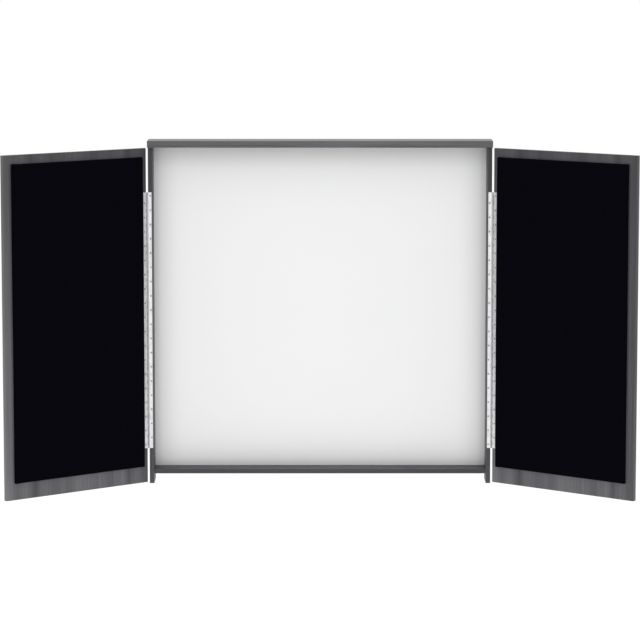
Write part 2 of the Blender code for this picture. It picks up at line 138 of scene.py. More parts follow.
# The bow pulls: a bar that springs from its feet a little way out from the door.
PULL_BAR = 0.0048
PULL_FOOT_HEIGHT = 0.006
PULL_SPRING = 0.003
PULL_STEPS = 48
PULL_BORE_PROFILE = ((0.0023, -0.001), (0.0023, 0.0063))

WHITEBOARD_ARRIS = 0.0004
RAIL_ARRIS = 0.0012

# The cams. Z is out of the face, and X is toward the bolt. Cutters go PAST_FACE beyond the face.
CAM_RADIUS = 0.0071
CAM_LENGTH = 0.0120
CAM_RIM = 0.0005
CAM_LIP = CAM_RADIUS - CAM_RIM
CAM_PROFILE = (
    (CAM_LIP, -CAM_LENGTH),
    (CAM_RADIUS, CAM_RIM - CAM_LENGTH),
    (CAM_RADIUS, -CAM_RIM),
    (CAM_LIP, 0.0),
    (CAM_LIP - 0.0006, 0.0),
    (CAM_LIP - 0.0010, -0.0003),
    (0.0004, -0.0003),
)
CROSS_WIDTH = 0.0013
CROSS_REACH = CAM_RADIUS * 0.62
CROSS_DEPTH = 0.0028
ARROW = ((0.0039, 0.0039), (0.0018, 0.0033), (0.0033, 0.0018))
ARROW_DEPTH = 0.0008
THROAT_HEIGHT = 0.0043
THROAT_PROFILE = ((0.0036, -0.0045), (0.0036, 2 * CAM_RADIUS))
PAST_FACE = 0.001

# The stage: the camera's place is given from the sides' front edges and their lower ends.
LENS_MM = 176.06
SENSOR_MM = 36
CAMERA_OUT = 10.859
CAMERA_UP = 1.9017
CAMERA_TILT_DEG = 6.95
FLOOR_DROP = 1.2
FLOOR_SIZE = 30.0
FLOOR_CELLS = 12
FLOOR_GLOW = 0.17
WHITE = (1.0, 1.0, 1.0, 1.0)



class Recipe:
    """One material's node tree, with short calls that add and join nodes."""

    def __init__(self, name, **surface):
        self.material = bpy.data.materials.new(name)
        self.material.use_nodes = True
        self.nodes = self.material.node_tree.nodes
        self.links = self.material.node_tree.links
        self.shader = self.nodes["Principled BSDF"]
        self.place = self.add("TexCoord", output="Object")
        self.set(**surface)

    def set(self, **surface):
        """Give the shader's sockets values or links; base_color stands for Base Color."""
        names = {"ior_level": "Specular IOR Level"}
        for key, value in surface.items():
            socket = names.get(key, key.replace("_", " ").title())
            self.put(self.shader.inputs[socket], value)

    def put(self, socket, value):
        """Link an output to the socket, or set its plain value."""
        if isinstance(value, bpy.types.NodeSocket):
            self.links.new(value, socket)
        else:
            socket.default_value = value

    def add(self, kind, inputs=None, output=0, **settings):
        """Add a node and return one of its outputs."""
        node = self.nodes.new(f"ShaderNode{kind}")
        for key, value in settings.items():
            setattr(node, key, value)
        for key, value in (inputs or {}).items():
            self.put(node.inputs[key], value)
        return node.outputs[output]

    def own_place(self, centre, turn=0.0):
        """The place measured from a centre, in a frame turned about Z."""
        inputs = {"Vector": self.place, "Location": centre, "Rotation": (0, 0, turn)}
        return self.add("Mapping", inputs, vector_type="TEXTURE")

    def split(self, vector):
        """A vector's X, Y and Z."""
        return self.add("SeparateXYZ", {0: vector}).node.outputs

    def math(self, operation, first, second=0.0):
        """A number worked out from one or two others."""
        return self.add("Math", {0: first, 1: second}, operation=operation)

    def chain(self, operation, first, *others):
        """Several numbers added or multiplied in turn."""
        for other in others:
            first = self.math(operation, first, other)
        return first

    def wave(self, value, pitch):
        """A sine that repeats every pitch."""
        return self.math("SINE", self.math("MULTIPLY", value, 2 * math.pi / pitch))

    def fit(self, value, low, high, to_low=0.0, to_high=1.0):
        """The value's place between low and high, eased and carried to another range."""
        inputs = {"Value": value, 1: low, 2: high, 3: to_low, 4: to_high}
        return self.add("MapRange", inputs, interpolation_type="SMOOTHSTEP")

    def noise(self, place, scale, detail=2.0, roughness=0.5):
        """Noise with so many features to the metre along each axis."""
        stretched = self.add("Mapping", {"Vector": place, "Scale": scale})
        inputs = {"Vector": stretched, "Scale": 1.0, "Detail": detail, "Roughness": roughness}
        return self.add("TexNoise", inputs)

    def ramp(self, value, stops):
        """A colour or a grey level for each value from 0 to 1."""
        made = self.add("ValToRGB", {0: value})
        elements = made.node.color_ramp.elements
        while len(elements) < len(stops):
            elements.new(1.0)
        for element, (position, colour) in zip(elements, stops):
            element.position = position
            rgb = colour if isinstance(colour, tuple) else (colour, colour, colour)
            element.color = (*rgb, 1.0)
        return made

    def blend(self, factor, first, second):
        """A colour between two others."""
        inputs = {0: factor, 6: (*first, 1.0), 7: (*second, 1.0)}
        return self.add("Mix", inputs, output=2, data_type="RGBA")

    def share(self, first, second, part):
        """One number's part, and the rest of the other."""
        return self.math("ADD", self.math("MULTIPLY", first, part), self.math("MULTIPLY", second, 1 - part))

    def tint(self, colour, tone):
        """A colour made lighter or darker by a number."""
        grey = self.add("CombineXYZ", {0: tone, 1: tone, 2: tone})
        return self.add("VectorMath", {0: colour, 1: grey}, operation="MULTIPLY")

    def bump(self, height, depth):
        """Relief of the given depth in metres where the height goes from 0 to 1."""
        normal = self.add("Bump", {"Height": height, "Distance": depth, "Strength": 1.0})
        self.put(self.shader.inputs["Normal"], normal)


# ---- Materials: laminate ------------------------------------------------------------------

LAMINATE_DARK = (0.018, 0.018, 0.022)
LAMINATE_PALE = (0.200, 0.198, 0.214)
LAMINATE_SHINE = 0.45
LAMINATE_RELIEF = 0.00012
BAND_FROM_EDGE = 0.0010
BAND_LINE = 0.0003
BAND_DARKENING = 0.35

# The print's tone across a panel: (place, from 0 at one edge to 1 at the other, and tone).
DOOR_FIGURE = (
    (0.00, 0.80),
    (0.09, 0.46),
    (0.15, 0.60),
    (0.20, 0.22),
    (0.28, 0.47),
    (0.34, 0.34),
    (0.50, 0.56),
    (0.62, 0.42),
    (0.69, 0.54),
    (0.75, 0.40),
    (0.83, 0.60),
    (0.87, 0.23),
    (0.92, 0.42),
    (1.00, 0.26),
)
PLAIN_FIGURE = ((0.0, 0.42), (0.3, 0.50), (0.6, 0.44), (1.0, 0.48))

# The print's finer parts: features to the metre across, through and along the grain.
WANDER_SCALE = (3.0, 3.0, 2.2)
CLOUD_SCALE = (14.0, 14.0, 1.1)
STREAK_SCALE = (170.0, 170.0, 3.0)
LINE_SCALE = (950.0, 950.0, 16.0)
WANDER = 0.012
CLOUD_TONE = 0.09
STREAK_TONE = 0.11
LINE_TONE = 0.05
PORE_TONE = 0.10


def laminate(name, low, high, centre, turn=0.0, grain="Z", figure=PLAIN_FIGURE, **look):
    """Charcoal woodgrain melamine on one panel, given the panel's box in its own turned frame.

    The look may shift the figure across the panel, set its tone as painted light and shade per
    panel, darken it toward the top as painted shade, and set how much the surface shines.
    """
    recipe = Recipe(name, ior_level=look.get("shine", LAMINATE_SHINE))
    half = (high - low) / 2
    axes = recipe.split(recipe.own_place(centre, turn))
    other = "X" if grain == "Z" else "Z"
    spot = recipe.math("MULTIPLY", axes[other], -0.5 / half["XYZ".index(other)])
    spot = recipe.math("ADD", spot, 0.5 + look.get("shift", 0.0))
    print_place = grain_place(recipe, axes, other, grain)
    level, streaks, pores = woodgrain(recipe, print_place, spot, figure)
    # Painted light and shade: the gain sets each panel's tone and darkens the panel toward its top.
    gain = recipe.math("MULTIPLY", axes["Z"], -look.get("painted_top_shade", 0.0) / half.z)
    gain = recipe.math("ADD", gain, look.get("tone", 1.0))
    seam = edge_band(recipe, axes, half)
    lit = recipe.math("SUBTRACT", 1.0, recipe.math("MULTIPLY", seam, BAND_DARKENING))
    level = recipe.chain("MULTIPLY", level, gain, lit)

    recipe.set(base_color=recipe.blend(level, LAMINATE_DARK, LAMINATE_PALE))
    recipe.set(roughness=recipe.fit(streaks, 0.3, 0.7, 0.46, 0.36))
    relief = recipe.math("SUBTRACT", recipe.math("MULTIPLY", streaks, 0.6), pores)
    recipe.bump(recipe.math("SUBTRACT", relief, seam), LAMINATE_RELIEF)
    return recipe.material


def grain_place(recipe, axes, across, along):
    """The place in the print, which runs along the panel but across the panel's ends."""
    facing = recipe.split(recipe.add("TexCoord", output="Normal"))
    ends = recipe.math("GREATER_THAN", recipe.math("ABSOLUTE", facing[along]), 0.7)
    straight = recipe.add("CombineXYZ", {0: axes[across], 1: axes["Y"], 2: axes[along]})
    turned = recipe.add("CombineXYZ", {0: axes[along], 1: axes["Y"], 2: axes[across]})
    return recipe.add("Mix", {0: ends, 4: straight, 5: turned}, output=1, data_type="VECTOR")


def woodgrain(recipe, place, spot, figure):
    """The print's tone, with the streaks and the pores that also shape its surface."""
    wander = recipe.fit(recipe.noise(place, WANDER_SCALE, 2.0), 0.2, 0.8, -WANDER, WANDER)
    broad = recipe.ramp(recipe.math("ADD", spot, wander), figure)
    clouds = recipe.noise(place, CLOUD_SCALE, 3.0)
    streaks = recipe.noise(place, STREAK_SCALE, 4.0, 0.6)
    lines = recipe.noise(place, LINE_SCALE, 3.0, 0.7)
    pores = recipe.fit(lines, 0.60, 0.72)
    swings = (
        recipe.fit(clouds, 0.25, 0.75, -CLOUD_TONE, CLOUD_TONE),
        recipe.fit(streaks, 0.25, 0.75, -STREAK_TONE, STREAK_TONE),
        recipe.fit(lines, 0.3, 0.7, -LINE_TONE, LINE_TONE),
    )
    level = recipe.chain("ADD", broad, *swings)
    level = recipe.math("SUBTRACT", level, recipe.math("MULTIPLY", pores, PORE_TONE))
    return level, streaks, pores


def edge_band(recipe, axes, half):
    """1 on the fine line where the edging meets the face, and 0 elsewhere."""
    flat = "XZ" if half.y < min(half.x, half.z) else "XY"
    gaps = []
    for axis in flat:
        reach = half["XYZ".index(axis)]
        gaps.append(recipe.math("SUBTRACT", reach, recipe.math("ABSOLUTE", axes[axis])))
    nearest = recipe.math("MINIMUM", *gaps)
    offset = recipe.math("ABSOLUTE", recipe.math("SUBTRACT", nearest, BAND_FROM_EDGE))
    return recipe.fit(offset, 0.0, BAND_LINE, 1.0, 0.0)


# ---- Materials: the rest ------------------------------------------------------------------

# How far in each painted shade along the writing face's edges reaches, where the recess shades it, and its tone at
# the very edge.
SIDE_PAINTED_SHADE = (0.030, 0.86)
FOOT_PAINTED_SHADE = (0.030, 0.88)
HEAD_PAINTED_SHADE = (0.090, 0.81)

HARDBOARD_TONES = (
    (0.30, (0.105, 0.056, 0.030)),
    (0.50, (0.205, 0.120, 0.066)),
    (0.70, (0.290, 0.185, 0.108)),
)
FIBRE_SHARE = 0.92
SCREEN_PITCH = 0.0018

CLOTH_PITCH = 0.0016
CLOTH_DARK = (0.0015, 0.0013, 0.0027)
CLOTH_PALE = (0.0031, 0.0026, 0.0052)

PINE_TONES = (
    (0.00, (0.560, 0.375, 0.195)),
    (0.12, (0.690, 0.510, 0.310)),
    (0.55, (0.665, 0.480, 0.285)),
    (0.93, (0.510, 0.320, 0.158)),
    (1.00, (0.560, 0.375, 0.195)),
)
PINE_RINGS = {"Scale": 38.0, "Distortion": 3.5, "Detail": 1.0, "Detail Scale": 0.5}
BEECH_TONES = ((0.3, (0.47, 0.31, 0.17)), (0.7, (0.68, 0.51, 0.33)))


def writing_face():
    """Gloss white dry-erase face: faint smears, and painted shade that darkens it toward the recess's walls."""
    recipe = Recipe("dry_erase_face", ior_level=0.50)
    axes = recipe.split(recipe.place)
    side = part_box("right_side_panel")[0].x
    distances = (
        (recipe.math("SUBTRACT", side, recipe.math("ABSOLUTE", axes["X"])), SIDE_PAINTED_SHADE),
        (recipe.math("SUBTRACT", axes["Z"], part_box("bottom_panel")[1].z), FOOT_PAINTED_SHADE),
        (recipe.math("SUBTRACT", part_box("top_panel")[0].z, axes["Z"]), HEAD_PAINTED_SHADE),
    )
    # Painted shade: the face grows darker toward the sides, foot and head of the recess.
    painted_shades = [recipe.fit(distance, 0.0, reach, tone, 1.0) for distance, (reach, tone) in distances]
    smears = recipe.noise(recipe.place, (2.2, 2.2, 5.5), 3.0, 0.55)
    wiped = recipe.noise(recipe.place, (6.0, 6.0, 2.0), 2.0)
    white = recipe.blend(smears, (0.934, 0.934, 0.934), (0.948, 0.948, 0.948))
    recipe.set(base_color=recipe.tint(white, recipe.chain("MULTIPLY", *painted_shades)))
    recipe.set(roughness=recipe.fit(wiped, 0.3, 0.7, 0.24, 0.27))
    return recipe.material


def hardboard():
    """The board's brown back: pressed fibre with a screen's print in it."""
    recipe = Recipe("hardboard_back", ior_level=0.25, roughness=0.8)
    fibres = recipe.noise(recipe.place, (420.0, 420.0, 420.0), 5.0, 0.7)
    clouds = recipe.noise(recipe.place, (6.0, 6.0, 6.0), 3.0)
    mixed = recipe.share(fibres, clouds, FIBRE_SHARE)
    recipe.set(base_color=recipe.ramp(mixed, HARDBOARD_TONES))
    axes = recipe.split(recipe.place)
    screen = recipe.chain("MULTIPLY", *[recipe.wave(axes[axis], SCREEN_PITCH) for axis in "XZ"])
    recipe.bump(recipe.math("ADD", screen, fibres), 0.00015)
    return recipe.material


def tack_cloth(name, centre, turn):
    """Black woven cloth: a plain weave, its warp upright on the door."""
    recipe = Recipe(name, roughness=1.0, ior_level=0.0, sheen_weight=0.008, sheen_roughness=0.6)
    own = recipe.own_place(centre, turn)
    axes = recipe.split(own)
    slub = recipe.noise(own, (500.0, 500.0, 26.0), 3.0)
    over = recipe.chain("MULTIPLY", *[recipe.wave(axes[axis], CLOTH_PITCH) for axis in "XZ"])
    tufts = recipe.math("ABSOLUTE", recipe.wave(axes["X"], CLOTH_PITCH / 2))
    over = recipe.math("MULTIPLY", over, 0.5)
    tufts = recipe.math("MULTIPLY", tufts, 0.3)
    yarn = recipe.chain("ADD", over, tufts, slub)
    recipe.set(base_color=recipe.blend(recipe.fit(yarn, 0.1, 1.2), CLOTH_DARK, CLOTH_PALE))
    recipe.bump(yarn, 0.00025)
    return recipe.material


def softwood(name, heart):
    """Planed pine: growth rings about the heart, which runs along X, and fibres along X."""
    recipe = Recipe(name, ior_level=0.35)
    centre = recipe.own_place(heart)
    drawn_out = recipe.add("Mapping", {"Vector": centre, "Scale": (0.04, 1.0, 1.0)})
    kind = {"wave_type": "RINGS", "rings_direction": "X", "wave_profile": "SAW"}
    rings = recipe.add("TexWave", {"Vector": drawn_out, **PINE_RINGS}, output="Fac", **kind)
    fibres = recipe.noise(centre, (9.0, 700.0, 700.0), 4.0, 0.65)
    wood = recipe.ramp(rings, PINE_TONES)
    recipe.set(base_color=recipe.tint(wood, recipe.fit(fibres, 0.25, 0.75, 0.84, 1.12)))
    recipe.set(roughness=recipe.fit(fibres, 0.3, 0.7, 0.62, 0.78))
    recipe.bump(fibres, 0.00008)
    return recipe.material


def beech():
    """Plain beech with short flecks."""
    recipe = Recipe("beech", roughness=0.7, ior_level=0.3)
    fibres = recipe.noise(recipe.place, (60.0, 900.0, 900.0), 4.0, 0.6)
    recipe.set(base_color=recipe.ramp(fibres, BEECH_TONES))
    recipe.bump(fibres, 0.0001)
    return recipe.material


def metal(name, colour, rough, grain, depth, worn=0.06):
    """Satin metal whose fine scratches run where the grain has few features to the metre."""
    recipe = Recipe(name, metallic=1.0)
    scratches = recipe.noise(recipe.place, grain, 3.0, 0.6)
    clouds = recipe.noise(recipe.place, (45.0, 45.0, 45.0), 3.0)
    darker = tuple(channel * (1.0 - 4.0 * worn) for channel in colour)
    dulled = recipe.fit(recipe.share(scratches, clouds, 0.5), 0.3, 0.6)
    recipe.set(base_color=recipe.blend(dulled, darker, colour))
    recipe.set(roughness=recipe.fit(scratches, 0.3, 0.7, rough - 0.05, rough + 0.07))
    recipe.bump(scratches, depth)
    return recipe.material


def floor_paint():
    """A pale studio floor, a little self-lit so that it fades into the white room."""
    recipe = Recipe("pale_floor", roughness=0.9, ior_level=0.1)
    grain = recipe.noise(recipe.place, (4.0, 4.0, 4.0), 3.0)
    recipe.set(base_color=recipe.blend(grain, (0.86, 0.86, 0.86), (0.89, 0.89, 0.89)))
    recipe.set(emission_color=WHITE, emission_strength=FLOOR_GLOW)
    return recipe.material


# ---- Shapes -------------------------------------------------------------------------------


def axis_place(side):
    """The hinge axis, at the height of the world's origin."""
    x, y, _ = JOINTS[f"{side}_door_hinge"]["pos_m"]
    return Matrix.Translation((x, y, 0))


def door_place(side):
    """The turned frame of an open door: hinge axis at the origin, closed door along X."""
    joint = JOINTS[f"{side}_door_hinge"]
    turn = math.radians(-joint["range_deg"][1] * joint["axis"][2])
    return axis_place(side) @ Matrix.Rotation(turn, 4, "Z")


def box_in(node, place):
    """A CAD node's lowest and highest corners, as they are in a turned frame."""
    back = place.inverted()
    points = [back @ vertex.co for vertex in frame["nodes"][node].data.vertices]
    low = Vector(min(point[axis] for point in points) for axis in range(3))
    high = Vector(max(point[axis] for point in points) for axis in range(3))
    return low, high


def make(name, form, material, matrix=None, sharp_deg=SHARP_DEG):
    """Turn a bmesh into a linked object with its curved faces smooth."""
    bmesh.ops.recalc_face_normals(form, faces=form.faces)
    mesh = bpy.data.meshes.new(name)
    form.to_mesh(mesh)
    form.free()
    mesh.shade_smooth()
    mesh.set_sharp_from_angle(angle=math.radians(sharp_deg))
    if material:
        mesh.materials.append(material)
    piece = bpy.data.objects.new(name, mesh)
    bpy.context.scene.collection.objects.link(piece)
    piece.matrix_world = matrix or Matrix.Identity(4)
    return piece


def settle(piece, body, slot, *nodes):
    """Hang the piece on its body and hide the CAD nodes that it stands for; the slot is not used."""
    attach(piece, body)
    if nodes:
        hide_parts(*nodes)
    return piece


def prism(form, outline, start, end):
    """Add an outline in XY, extruded from z = start to z = end."""
    base = form.faces.new([form.verts.new((x, y, start)) for x, y in outline])
    raised = bmesh.ops.extrude_face_region(form, geom=[base])
    moved = [item for item in raised["geom"] if isinstance(item, bmesh.types.BMVert)]
    bmesh.ops.translate(form, vec=(0, 0, end - start), verts=moved)


def skin(form, rings):
    """Add the closed surface through rings of equally many points, with both ends filled."""
    loops = [[form.verts.new(point) for point in ring] for ring in rings]
    for lower, upper in zip(loops, loops[1:]):
        count = len(lower)
        for step in range(count):
            after = (step + 1) % count
            form.faces.new((lower[step], lower[after], upper[after], upper[step]))
    form.faces.new(loops[0])
    form.faces.new(loops[-1])


def lathe(form, profile, sides, matrix=None):
    """Add a profile of (radius, z) points turned about the matrix's Z."""
    matrix = matrix or Matrix.Identity(4)
    angles = [2 * math.pi * step / sides for step in range(sides)]
    rings = []
    for radius, z in profile:
        rings.append([matrix @ Vector((radius * math.cos(a), radius * math.sin(a), z)) for a in angles])
    skin(form, rings)


def block(form, corner, opposite):
    """Add a box between two opposite corners."""
    low = Vector(map(min, corner, opposite))
    high = Vector(map(max, corner, opposite))
    made = bmesh.ops.create_cube(form, size=1.0)["verts"]
    bmesh.ops.scale(form, vec=high - low, verts=made)
    bmesh.ops.translate(form, vec=(low + high) / 2, verts=made)


def carve(piece, form, operation="DIFFERENCE"):
    """Apply a Boolean with a shape given as a bmesh, and leave no helper or sliver behind."""
    other = make("cutter", form, None, piece.matrix_world.copy())
    step = piece.modifiers.new("carve", "BOOLEAN")
    step.operation = operation
    step.solver = "EXACT"
    step.object = other
    bpy.context.view_layer.update()
    graph = bpy.context.evaluated_depsgraph_get()
    carved = bpy.data.meshes.new_from_object(piece.evaluated_get(graph))
    clean = bmesh.new()
    clean.from_mesh(carved)
    bmesh.ops.dissolve_degenerate(clean, dist=SLIVER, edges=clean.edges)
    clean.to_mesh(carved)
    clean.free()
    piece.modifiers.clear()
    piece.data = carved
    bpy.data.objects.remove(other, do_unlink=True)
    carved.shade_smooth()
    carved.set_sharp_from_angle(angle=math.radians(SHARP_DEG))


# ---- Hinges -------------------------------------------------------------------------------
#
# inward is the sign of X away from the hinge and across the cabinet, and toward is the sign of Y
# from the hinge axis to the board that a leaf is screwed to.


def roll_arc(radius, level, steps):
    """Points about the pin, from the strip's face round to the slit."""
    first = math.asin(level / radius)
    last = math.radians(ROLL_END_DEG)
    angles = [first + (last - first) * step / steps for step in range(steps + 1)]
    return [(radius * math.cos(angle), radius * math.sin(angle)) for angle in angles]


def roll_outline(inward, toward):
    """A rolled knuckle's section about the pin, joined to the strip and open by a slit."""
    join = LEAF_START + GAP
    outer = roll_arc(KNUCKLE_RADIUS, LEAF_FAR, ROLL_OUTER_STEPS)
    inner = roll_arc(KNUCKLE_BORE, LEAF_NEAR, ROLL_INNER_STEPS)
    points = [(join, LEAF_FAR), *outer, *reversed(inner), (join, LEAF_NEAR)]
    return [(inward * x, toward * y) for x, y in points]


def leaf_rolls(inward, toward, first):
    """Every other knuckle of a hinge, from the given one up."""
    pitch = (HINGE_HIGH - HINGE_LOW) / KNUCKLES
    outline = roll_outline(inward, toward)
    rolls = bmesh.new()
    for index in range(first, KNUCKLES, 2):
        start = HINGE_LOW + index * pitch + GAP / 2
        prism(rolls, outline, start, start + pitch - GAP)
    return rolls


def hinge_leaf(name, place, inward, toward, first, body, node, materials):
    """One leaf: a strip with 18 countersunk holes, lighter as painted light, and every other rolled knuckle,
    rougher and darker as painted shade.
    """
    form = bmesh.new()
    corner = (inward * LEAF_START, toward * LEAF_NEAR, HINGE_LOW)
    block(form, corner, (inward * LEAF_REACH, toward * LEAF_FAR, HINGE_HIGH))
    leaf = make(name, form, materials["hinge"], place)
    carve(leaf, leaf_rolls(inward, toward, first), "UNION")
    holes = bmesh.new()
    for spot in screw_places(inward, toward):
        lathe(holes, SCREW_HOLE_PROFILE, FACETS["screw_hole"], spot)
    carve(leaf, holes)
    leaf.data.materials.append(materials["roll"])
    for polygon in leaf.data.polygons:
        polygon.material_index = int(polygon.center.xy.length < LEAF_START)
    return settle(leaf, body, "hinge_steel", node)


def screw_places(inward, toward):
    """Where each screw of a leaf goes: its head's middle, with Z into the board.

    The two leaves' screws are staggered, and the right hinge is the left one turned end for end.
    """
    count = round((HINGE_HIGH - HINGE_LOW) / SCREW_PITCH)
    aim = Matrix.Rotation(math.radians(-90 * toward), 4, "X")
    start = 0.75 if inward == toward else 0.25
    for index in range(count):
        height = HINGE_LOW + (index + start) * SCREW_PITCH
        yield Matrix.Translation((inward * SCREW_ROW, toward * LEAF_NEAR, height)) @ aim


def screw_form():
    """A countersunk cross-recess screw, head at z = 0 and point along +Z, with a rolled thread."""
    profile = list(SCREW_HEAD_PROFILE)
    for step in range(THREAD_TURNS):
        z = THREAD_START + (THREAD_END - THREAD_START) * step / THREAD_TURNS
        profile += [(THREAD_ROOT, z), (SCREW_SHANK, z + THREAD_SLOPE)]
    profile += SCREW_POINT_PROFILE
    form = bmesh.new()
    lathe(form, profile, FACETS["screw"])
    screw = make("screw_pattern", form, None)
    corners = ((-1, -1), (1, -1), (1, 1), (-1, 1))
    for turn in (0, 90):
        cross = bmesh.new()
        skin(cross, [[Vector((reach * a, wide * b, z)) for a, b in corners] for z, reach, wide in RECESS])
        bmesh.ops.rotate(cross, matrix=Matrix.Rotation(math.radians(turn), 3, "Z"), verts=cross.verts)
        carve(screw, cross)
    return screw


def hinge_screws(name, pattern, place, inward, toward, body, nodes, material):
    """A leaf's eighteen screws, each left at its own turn."""
    form = bmesh.new()
    for index, spot in enumerate(screw_places(inward, toward)):
        before = len(form.verts)
        form.from_mesh(pattern.data)
        form.verts.ensure_lookup_table()
        turned = spot @ Matrix.Rotation(math.radians(SCREW_TURN_DEG * index), 4, "Z")
        bmesh.ops.transform(form, matrix=turned, verts=form.verts[before:])
    screws = make(name, form, material, place)
    return settle(screws, body, "screw_steel", *nodes)


def hinge_pin(side, material):
    """The hinge's wire pin, with its ends rounded over."""
    profile = []
    for end, direction in ((HINGE_LOW, 1), (HINGE_HIGH, -1)):
        arc = []
        for step in range(PIN_ROUNDING_STEPS + 1):
            angle = math.radians(90) * step / PIN_ROUNDING_STEPS
            radius = PIN_RADIUS - PIN_ROUNDING + PIN_ROUNDING * math.sin(angle)
            arc.append((radius, end + direction * PIN_ROUNDING * (1 - math.cos(angle))))
        profile += arc[::direction]
    form = bmesh.new()
    lathe(form, profile, FACETS["pin"], axis_place(side))
    pin = make(f"{side}_pin", form, material)
    return settle(pin, "cabinet", "pin_steel", f"{side}_hinge_pin")


def make_hinges(side, materials, pattern):
    """A whole piano hinge."""
    inward = -SIDES[side]
    leaves = {
        "frame": (axis_place(side), 1, 0, "cabinet"),
        "door": (door_place(side), -1, 1, f"{side}_door"),
    }
    for half, (place, toward, first, body) in leaves.items():
        name = f"{side}_{half}_leaf"
        node = f"{side}_{half}_hinge_leaf"
        hinge_leaf(name, place, inward, toward, first, body, node, materials)
        nodes = [f"{side}_{half}_hinge_screw_{spot}" for spot in ("bottom", "middle", "top")]
        name = f"{side}_{half}_leaf_screws"
        hinge_screws(name, pattern, place, inward, toward, body, nodes, materials["screw"])
    hinge_pin(side, materials["pin"])


# ---- Doors' boards and pulls --------------------------------------------------------------


def tack_outline(low, high):
    """The wrapped board's outline in XZ: round corners, with the folded cloth a step thicker."""
    points = []
    corners = ((1, 1), (-1, 1), (-1, -1), (1, -1))
    for index, (right, up) in enumerate(corners):
        x = (high.x if right > 0 else low.x) - right * TACK_CORNER
        z = (high.z if up > 0 else low.z) - up * TACK_CORNER
        edge = z + up * (TACK_CORNER - FOLD_STEP)
        fold = [
            (x - right * FOLD_LENGTH, edge),
            (x - right * (FOLD_LENGTH - FOLD_STEP), edge + up * FOLD_STEP),
        ]
        arc = []
        for step in range(TACK_CORNER_STEPS + 1):
            angle = math.radians(90 * index + 90 * step / TACK_CORNER_STEPS)
            arc.append((x + TACK_CORNER * math.cos(angle), z + TACK_CORNER * math.sin(angle)))
        points += arc + fold[::-1] if index % 2 == 0 else fold + arc
    return points


def inset(points, distance):
    """A closed outline moved inward, point by point."""
    moved = []
    for index, point in enumerate(points):
        before = Vector(points[index - 1])
        after = Vector(points[(index + 1) % len(points)])
        along = (after - before).normalized()
        moved.append(Vector(point) + distance * Vector((-along.y, along.x)))
    return moved


def tack_board(side, material):
    """A fibre core wrapped in cloth, with soft front edges and folded corners."""
    place = door_place(side)
    node = f"{side}_tack_board"
    low, high = box_in(node, place)
    outline = tack_outline(low, high)
    levels = [(low.y, TACK_BACK_CHAMFER), (low.y + TACK_BACK_CHAMFER, 0.0)]
    for step in range(TACK_ROUND_STEPS + 1):
        angle = math.radians(90) * step / TACK_ROUND_STEPS
        depth = high.y - TACK_ROUND + TACK_ROUND * math.sin(angle)
        levels.append((depth, TACK_ROUND * (1 - math.cos(angle))))
    form = bmesh.new()
    skin(form, [[Vector((x, depth, z)) for x, z in inset(outline, taken)] for depth, taken in levels])
    board = make(f"{side}_tack_panel", form, material, place, SOFT_SHARP_DEG)
    return settle(board, f"{side}_door", "tack_fabric", node)


def pull_centres(middle, face, span, rise):
    """The bow's centre line, from one foot on the door's face to the other."""
    centres = [Vector((middle.x, face, middle.z - span))]
    for step in range(PULL_STEPS + 1):
        angle = math.pi * (1 - step / PULL_STEPS)
        out = PULL_SPRING + (rise - PULL_SPRING) * math.sin(angle)
        centres.append(Vector((middle.x, face - out, middle.z + span * math.cos(angle))))
    centres.append(Vector((middle.x, face, middle.z + span)))
    return centres


def pull_ring(centres, index, face, foot):
    """The bow's round section at one point of its centre line, wider near the door's face."""
    centre = centres[index]
    last = len(centres) - 1
    along = centres[min(index + 1, last)] - centres[max(index - 1, 0)]
    if index in (0, last):
        along = Vector((0, -1 if index == 0 else 1, 0))
    across = Vector((1, 0, 0))
    normal = along.normalized().cross(across)
    flare = max(0.0, 1.0 - (face - centre.y) / PULL_FOOT_HEIGHT)
    radius = PULL_BAR + (foot - PULL_BAR) * flare * flare
    angles = [2 * math.pi * turn / FACETS["pull"] for turn in range(FACETS["pull"])]
    return [centre + radius * (math.cos(a) * across + math.sin(a) * normal) for a in angles]


def bow_pull(side, material):
    """A round bow pull that flares into a foot at each end."""
    place = door_place(side)
    node = f"{side}_door_pull"
    low, high = box_in(node, place)
    middle = (low + high) / 2
    foot = (high.x - low.x) / 2
    span = (high.z - low.z) / 2 - foot
    centres = pull_centres(middle, high.y, span, high.y - low.y - foot)
    form = bmesh.new()
    skin(form, [pull_ring(centres, index, high.y, foot) for index in range(len(centres))])
    pull = make(f"{side}_bow_pull", form, material, place, SOFT_SHARP_DEG)
    bores = bmesh.new()
    outward = Matrix.Rotation(math.pi / 2, 4, "X")
    for sign in (-1, 1):
        spot = Matrix.Translation((middle.x, high.y, middle.z + sign * span)) @ outward
        lathe(bores, PULL_BORE_PROFILE, FACETS["pull_bore"], spot)
    carve(pull, bores)
    return settle(pull, f"{side}_door", "pull_nickel", node)


# ---- Whiteboard and cam fittings ----------------------------------------------------------


def whiteboard(face, back):
    """The writing panel: a white face, and brown board behind and at the edges."""
    low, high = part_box("whiteboard")
    form = bmesh.new()
    block(form, low, high)
    bmesh.ops.bevel(form, geom=form.edges[:], offset=WHITEBOARD_ARRIS, segments=2, affect="EDGES")
    board = make("writing_board", form, face)
    board.data.materials.append(back)
    for polygon in board.data.polygons:
        polygon.material_index = 0 if polygon.normal.y < -0.5 else 1
    return settle(board, "cabinet", "whiteboard", "whiteboard")


